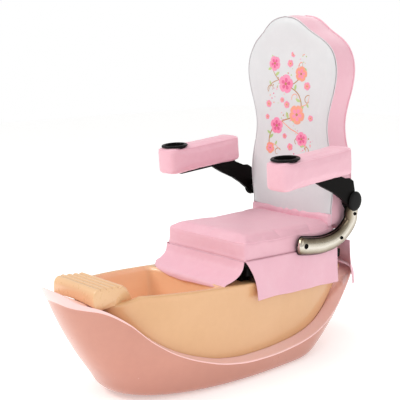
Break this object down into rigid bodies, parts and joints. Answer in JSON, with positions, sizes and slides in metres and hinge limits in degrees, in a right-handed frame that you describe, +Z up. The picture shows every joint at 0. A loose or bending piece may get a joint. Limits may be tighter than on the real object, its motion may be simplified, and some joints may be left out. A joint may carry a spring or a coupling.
{
  "type": "pedicure spa chair",
  "caption": "Small salon foot-spa chair: boat-shaped foot bath in an open outer shell, padded seat with skirts, tall shaped back, flip-up armrests with cup holders, ribbed footrest.",
  "frame": {"origin": "middle of the footprint box, on the floor under the foot pads", "axes": "+Z up; the sitter faces -Y, so the bow of the tub and the footrest are at -Y and the backrest at +Y; +X is the sitter's left"},
  "size_m": [0.6294, 1.2528, 1.1691],
  "materials": {
    "hull_gelcoat": "gloss",
    "basin_gelcoat": "gloss",
    "footrest_gelcoat": "gloss",
    "pink_vinyl": "soft satin",
    "white_vinyl": "soft satin",
    "black_plastic": "gloss",
    "black_steel": "semi-gloss",
    "chrome": "polished",
    "steel": "brushed",
    "white_plastic": "gloss",
    "grey_plastic": "matte",
    "rubber_black": "matte",
    "plywood": "sanded"
  },
  "bodies": {
    "chair_base": {"tub_outer_shell": "hull_gelcoat", "basin_shell": "basin_gelcoat", "foot_pad_front_left": "rubber_black", "foot_pad_front_right": "rubber_black", "foot_pad_rear_left": "rubber_black", "foot_pad_rear_right": "rubber_black", "drain_flange": "chrome", "drain_lock_nut": "white_plastic", "drain_tailpipe": "white_plastic", "jet_body": "white_plastic", "jet_lock_nut": "grey_plastic", "jet_cover": "white_plastic", "jet_motor": "grey_plastic", "power_gland": "black_plastic", "footrest_lug_left": "steel", "footrest_lug_right": "steel", "seat_cushion": "pink_vinyl", "seat_board": "plywood", "seat_rail_left": "black_steel", "seat_rail_right": "black_steel", "seat_cross_front": "black_steel", "seat_cross_rear": "black_steel", "seat_post_front_left": "black_steel", "seat_post_front_right": "black_steel", "seat_post_rear_left": "black_steel", "seat_post_rear_right": "black_steel", "skirt_front": "pink_vinyl", "skirt_left": "pink_vinyl", "skirt_right": "pink_vinyl", "skirt_rear": "pink_vinyl", "backrest_front_pad": "white_vinyl", "backrest_gusset": "pink_vinyl", "backrest_board": "plywood", "back_upright_left": "black_steel", "back_upright_right": "black_steel", "backrest_rear_cover": "pink_vinyl", "backrest_ruffle": "pink_vinyl", "support_tube_left": "chrome", "support_strap_left": "black_steel", "tube_screw_front_left": "black_steel", "tube_screw_rear_left": "black_steel", "support_tube_right": "chrome", "support_strap_right": "black_steel", "tube_screw_front_right": "black_steel", "tube_screw_rear_right": "black_steel"},
    "armrest_left": {"armrest_pad_left": "pink_vinyl", "cup_holder_left": "black_plastic", "arm_bracket_left": "black_steel", "pivot_bolt_left": "steel", "hub_cap_left": "black_plastic"},
    "armrest_right": {"armrest_pad_right": "pink_vinyl", "cup_holder_right": "black_plastic", "arm_bracket_right": "black_steel", "pivot_bolt_right": "steel", "hub_cap_right": "black_plastic"},
    "footrest": {"footrest": "footrest_gelcoat", "footrest_hinge_pin": "steel"},
    "drain_stopper": {"drain_stopper": "chrome"},
    "jet_impeller": {"jet_impeller": "white_plastic"}
  },
  "joints": [
    {"name": "armrest_left_lift", "type": "hinge", "parent": "chair_base", "child": "armrest_left", "pos_m": [0.2425, 0.47597, 0.5276], "axis": [-1, 0, 0], "range_deg": [0, 90]},
    {"name": "armrest_right_lift", "type": "hinge", "parent": "chair_base", "child": "armrest_right", "pos_m": [-0.2425, 0.47597, 0.5276], "axis": [-1, 0, 0], "range_deg": [0, 90]},
    {"name": "footrest_lift", "type": "hinge", "parent": "chair_base", "child": "footrest", "pos_m": [0, -0.53043, 0.3435], "axis": [1, 0, 0], "range_deg": [0, 60]},
    {"name": "drain_stopper_lift", "type": "slide", "parent": "chair_base", "child": "drain_stopper", "axis": [0, 0, 1], "range_m": [0, 0.025]},
    {"name": "jet_impeller_spin", "type": "hinge", "parent": "chair_base", "child": "jet_impeller", "pos_m": [0, -0.0857, 0.18], "axis": [0, -1, 0], "continuous": true}
  ]
}
